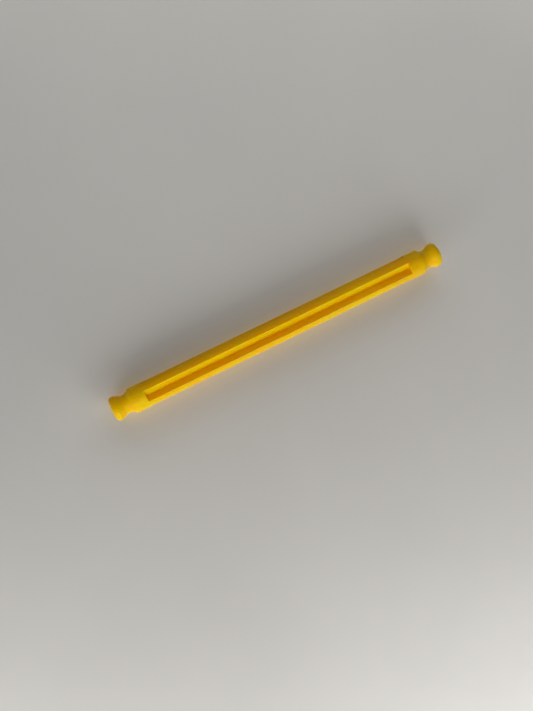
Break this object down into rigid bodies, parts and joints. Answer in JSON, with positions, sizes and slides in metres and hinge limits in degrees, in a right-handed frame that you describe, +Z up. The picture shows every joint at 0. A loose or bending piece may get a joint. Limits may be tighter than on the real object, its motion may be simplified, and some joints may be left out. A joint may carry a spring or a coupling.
{
  "type": "construction toy rod",
  "caption": "Short plastic connecting rod of a snap-together building toy: grooved body between round collars, with a necked round head at each end.",
  "frame": {"origin": "centre of the rod's bounding box, on its long axis midway between the end faces", "axes": "+X along the rod, +Z straight up out of one of its grooves, +Y to the side out of the next groove"},
  "size_m": [0.086, 0.0062, 0.0062],
  "materials": {
    "yellow_plastic": "glossy, coloured all through"
  },
  "bodies": {
    "root": {"rod": "yellow_plastic"}
  },
  "joints": []
}
